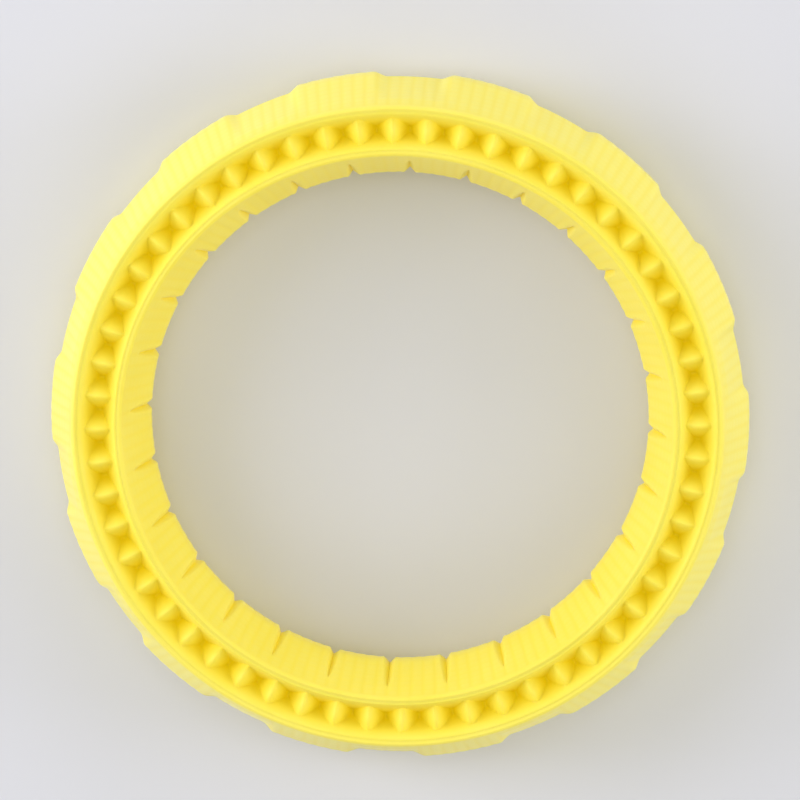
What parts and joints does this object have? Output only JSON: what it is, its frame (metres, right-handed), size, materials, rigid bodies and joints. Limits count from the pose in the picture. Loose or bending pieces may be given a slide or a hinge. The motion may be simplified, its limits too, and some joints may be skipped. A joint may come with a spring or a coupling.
{
  "type": "flying ring",
  "caption": "Soft flying ring with a lobed outside, a notched opening, a toothed track on each face and a foam core.",
  "frame": {"origin": "centre of the plane that the ring rests on, on the ring's axis", "axes": "+Z along the ring's axis, up from the resting plane; +X through the middle of an outer lobe"},
  "size_m": [0.2, 0.1988, 0.036],
  "materials": {
    "shell": "matte soft thermoplastic rubber, yellow, with a fine moulded stud texture on both flanks",
    "teeth": "matte soft thermoplastic rubber, yellow, smooth",
    "foam": "closed-cell foam, cream"
  },
  "bodies": {
    "root": {"upper_shell": "shell", "lower_shell": "shell", "upper_tooth_ring": "teeth", "lower_tooth_ring": "teeth", "foam_core": "foam"}
  },
  "joints": []
}
